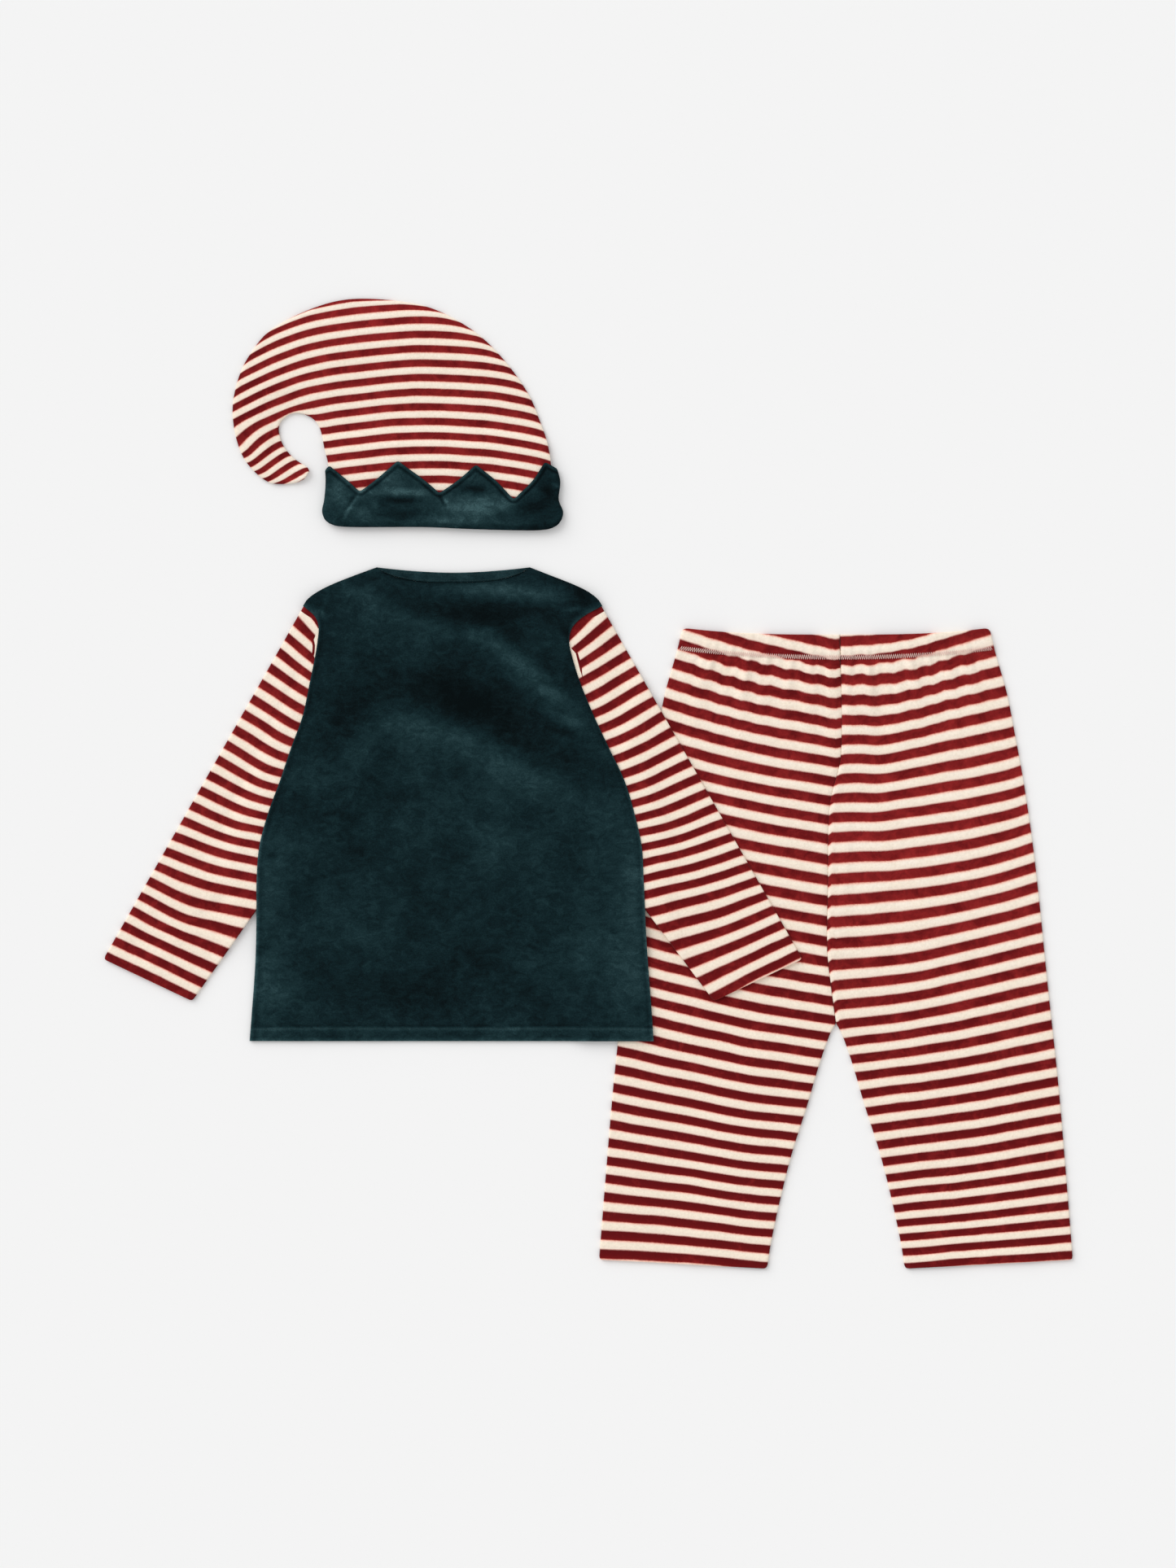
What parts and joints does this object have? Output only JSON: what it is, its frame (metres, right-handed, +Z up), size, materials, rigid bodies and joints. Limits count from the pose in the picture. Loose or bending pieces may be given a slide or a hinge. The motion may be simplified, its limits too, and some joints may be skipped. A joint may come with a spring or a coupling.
{
  "type": "elf costume",
  "caption": "Elf costume laid flat: curled striped hat with a pointed velvet band, long-sleeved velvet tunic seen from its back, and striped pull-on trousers under one sleeve.",
  "frame": {"origin": "middle of the set's box, on the surface that it lies on", "axes": "+Z up from the surface, +Y towards the hat and the waists, +X towards the trousers"},
  "size_m": [1.0001, 1.0001, 0.0114],
  "materials": {
    "striped_velour": "soft cotton velour, dark red and cream stripes across the cloth, matt with a faint nap",
    "green_velvet": "bottle-green velvet, deep and matt with a soft sheen where the nap turns"
  },
  "bodies": {
    "root": {"hat_crown_top": "striped_velour", "hat_crown_under": "striped_velour", "sleeve_left": "striped_velour", "sleeve_right": "striped_velour", "leg_left": "striped_velour", "leg_right": "striped_velour", "hat_band": "green_velvet", "tunic_back": "green_velvet", "tunic_front": "green_velvet", "neck_band_back": "green_velvet", "neck_band_front": "green_velvet"}
  },
  "joints": []
}
